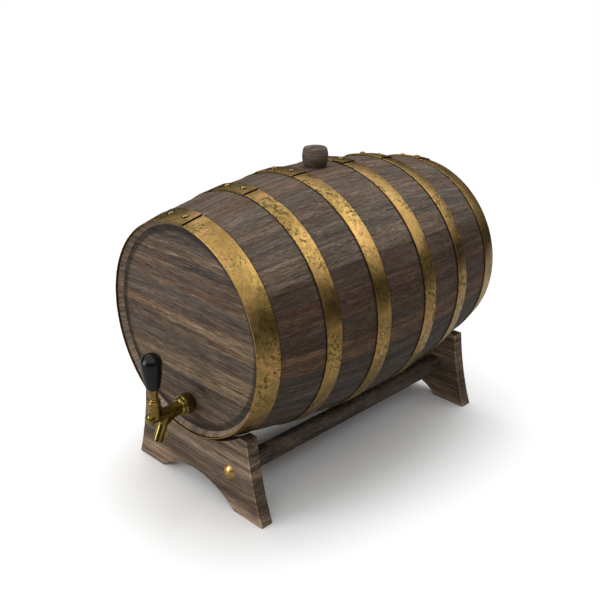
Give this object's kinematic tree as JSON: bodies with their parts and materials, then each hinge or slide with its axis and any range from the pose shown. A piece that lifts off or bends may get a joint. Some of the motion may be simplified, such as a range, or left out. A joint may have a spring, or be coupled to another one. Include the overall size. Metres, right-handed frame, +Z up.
{
  "type": "wine barrel on a cradle stand",
  "caption": "Small oak wine barrel lying on a two-board cradle stand, held by brass hoops, with a lever tap in the front head and a wooden bung on top.",
  "frame": {"origin": "middle of the whole object's footprint, on the floor", "axes": "+Z up, -Y the way the tap points, +X to the right when facing the tap"},
  "size_m": [0.361, 0.5696, 0.4563],
  "materials": {
    "oak_staves": "aged grey-brown oak, satin",
    "oak_heads": "aged grey-brown oak, satin",
    "oak_stand": "aged grey-brown oak, satin, worn edges",
    "oak_bung": "dark turned oak",
    "hoop_brass": "antique brass with dark speckled patina",
    "screw_brass": "polished aged brass",
    "tap_brass": "aged brass, darker in the hollows",
    "black_knob": "black, satin gloss",
    "black_rubber": "matte"
  },
  "bodies": {
    "stand": {"front_cradle": "oak_stand", "rear_cradle": "oak_stand", "stretcher_left": "oak_stand", "stretcher_right": "oak_stand", "stand_screws": "screw_brass"},
    "barrel": {"coupling_nut": "tap_brass", "front_bilge_hoop": "hoop_brass", "front_chime_hoop": "hoop_brass", "front_head": "oak_heads", "front_quarter_hoop": "hoop_brass", "head_dowels": "oak_heads", "hoop_rivets": "hoop_brass", "lock_nut": "tap_brass", "rear_bilge_hoop": "hoop_brass", "rear_chime_hoop": "hoop_brass", "rear_head": "oak_heads", "rear_quarter_hoop": "hoop_brass", "shank_collar": "tap_brass", "stave_01": "oak_staves", "stave_02": "oak_staves", "stave_03": "oak_staves", "stave_04": "oak_staves", "stave_05": "oak_staves", "stave_06": "oak_staves", "stave_07": "oak_staves", "stave_08": "oak_staves", "stave_09": "oak_staves", "stave_10": "oak_staves", "stave_11": "oak_staves", "stave_12": "oak_staves", "stave_13": "oak_staves", "stave_14": "oak_staves", "stave_15": "oak_staves", "stave_16": "oak_staves", "stave_17": "oak_staves", "stave_18": "oak_staves", "stave_19": "oak_staves", "stave_20": "oak_staves", "stave_21": "oak_staves", "stave_22": "oak_staves", "stave_23": "oak_staves", "stave_24": "oak_staves", "stave_25": "oak_staves", "stave_26": "oak_staves", "stave_27": "oak_staves", "stave_28": "oak_staves", "stave_29": "oak_staves", "stave_30": "oak_staves", "stave_31": "oak_staves", "stave_32": "oak_staves", "tap_body": "tap_brass", "tap_bonnet": "tap_brass", "tap_nose": "tap_brass", "tap_shank": "tap_brass"},
    "bung": {"bung": "oak_bung"},
    "handle": {"tap_lever": "tap_brass", "handle_ferrule": "tap_brass", "handle_knob": "black_knob"},
    "valve": {"valve_shaft": "tap_brass", "valve_washer": "black_rubber"}
  },
  "joints": [
    {"name": "barrel_lift", "type": "slide", "parent": "stand", "child": "barrel", "axis": [0, 0, 1], "range_m": [0, 0.1]},
    {"name": "bung_lift", "type": "slide", "parent": "barrel", "child": "bung", "axis": [0, 0, 1], "range_m": [0, 0.06]},
    {"name": "tap_handle", "type": "hinge", "parent": "barrel", "child": "handle", "pos_m": [0, -0.2708, 0.1582], "axis": [1, 0, 0], "range_deg": [0, 25]},
    {"name": "valve_slide", "type": "slide", "parent": "barrel", "child": "valve", "axis": [0, 1, 0], "range_m": [0, 0.00785]}
  ],
  "couplings": [
    {"joint": "valve_slide", "follows": "tap_handle", "m_per_rad": 0.018}
  ]
}
